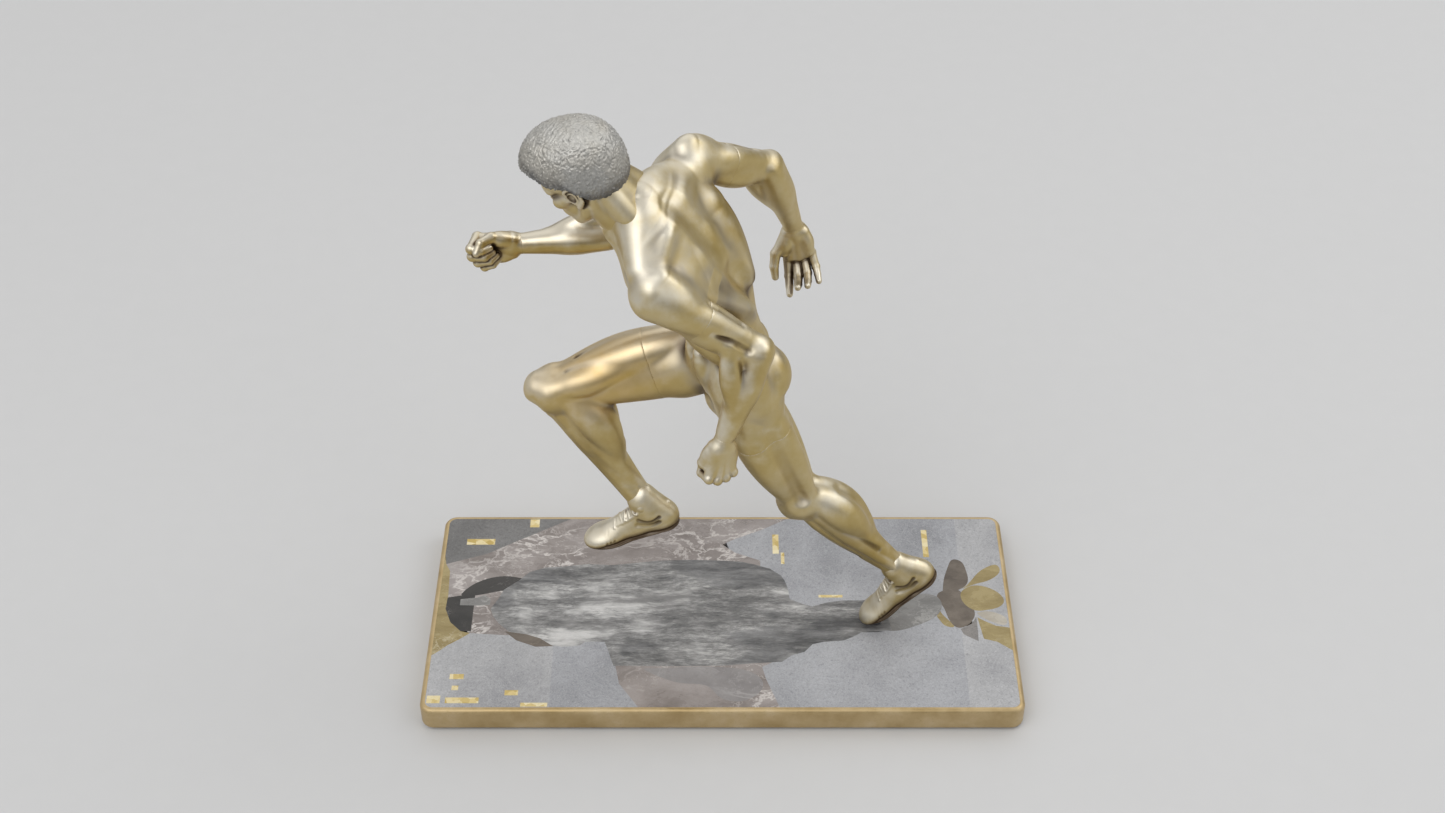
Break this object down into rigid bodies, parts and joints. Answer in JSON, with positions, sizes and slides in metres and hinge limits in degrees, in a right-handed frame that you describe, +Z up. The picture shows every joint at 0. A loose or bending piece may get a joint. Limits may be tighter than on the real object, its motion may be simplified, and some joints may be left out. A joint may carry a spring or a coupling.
{
  "type": "figure trophy",
  "caption": "Trophy: cast figure of a running athlete balanced on the toe of the rear shoe, on a low rectangular plinth whose top is inlaid with cut stones",
  "frame": {"origin": "centre of the plinth's underside (the felt's face), the plane the trophy rests on", "axes": "+Z up, +X along the plinth's long side towards the planted trailing foot, so the athlete runs towards -X; +Y to the athlete's right"},
  "size_m": [0.36, 0.1694, 0.383],
  "materials": {
    "bronze": "cast bronze, pale olive-gold patina, satin",
    "silvered_bronze": "cast bronze, silvered and darkened in the hollows",
    "gilt_metal": "matt gilt",
    "gold_smalti": "gold mosaic tesserae, polished",
    "slate_core": "sawn slate",
    "felt": "pressed felt",
    "steel": "plain turned steel",
    "stone_granite": "honed grey granite",
    "stone_granite_pale": "honed pale grey granite",
    "stone_granite_dark": "honed dark grey granite",
    "stone_marble": "honed veined pinkish-brown marble",
    "stone_relief": "textured grey-white stone, dark patches",
    "stone_mist": "honed light grey stone",
    "stone_umber": "polished dark brown stone",
    "stone_ochre": "polished ochre stone",
    "stone_cream": "polished cream stone",
    "stone_basalt": "honed dark grey stone",
    "stone_black": "polished black marble",
    "stone_slate": "honed slate, brown-grey"
  },
  "bodies": {
    "root": {"anti_turn_dowel": "steel", "chip_mist": "stone_mist", "cloud_slate": "stone_slate", "core_slab": "slate_core", "edge_frame": "gilt_metal", "felt_sheet": "felt", "foot_disc": "stone_mist", "forearm_back": "bronze", "forearm_fore": "bronze", "forearm_left": "bronze", "gold_shore": "stone_ochre", "gold_tesserae": "gold_smalti", "granite_back": "stone_granite", "granite_back_left": "stone_granite_dark", "granite_front": "stone_granite", "granite_left": "stone_granite_pale", "granite_left_inner": "stone_granite", "granite_right_back": "stone_granite_pale", "granite_right_front": "stone_granite_pale", "ground_relief": "stone_relief", "hair_cap": "silvered_bronze", "hand_back": "bronze", "hand_fore": "bronze", "hand_left": "bronze", "head": "bronze", "hex_nut": "steel", "joint_dowels_large": "steel", "joint_dowels_medium": "steel", "joint_dowels_small": "steel", "leaf_black": "stone_black", "leaf_umber": "stone_umber", "marble_back": "stone_marble", "marble_front": "stone_marble", "mounting_stud": "steel", "pelvis": "bronze", "petal_cream": "stone_cream", "petal_grey": "stone_basalt", "petal_ochre_corner": "stone_ochre", "petal_ochre_lower": "stone_ochre", "petal_ochre_right": "stone_ochre", "petal_ochre_upper": "stone_ochre", "petal_umber_centre": "stone_umber", "petal_umber_upper": "stone_umber", "plain_washer": "steel", "shank_left": "bronze", "shank_right": "bronze", "shoe_left": "bronze", "shoe_right": "bronze", "slab_black": "stone_black", "spring_washer": "steel", "thigh_left": "bronze", "thigh_right": "bronze", "torso": "bronze", "upper_arm_back": "bronze", "upper_arm_fore": "bronze", "upper_arm_left": "bronze"}
  },
  "joints": []
}
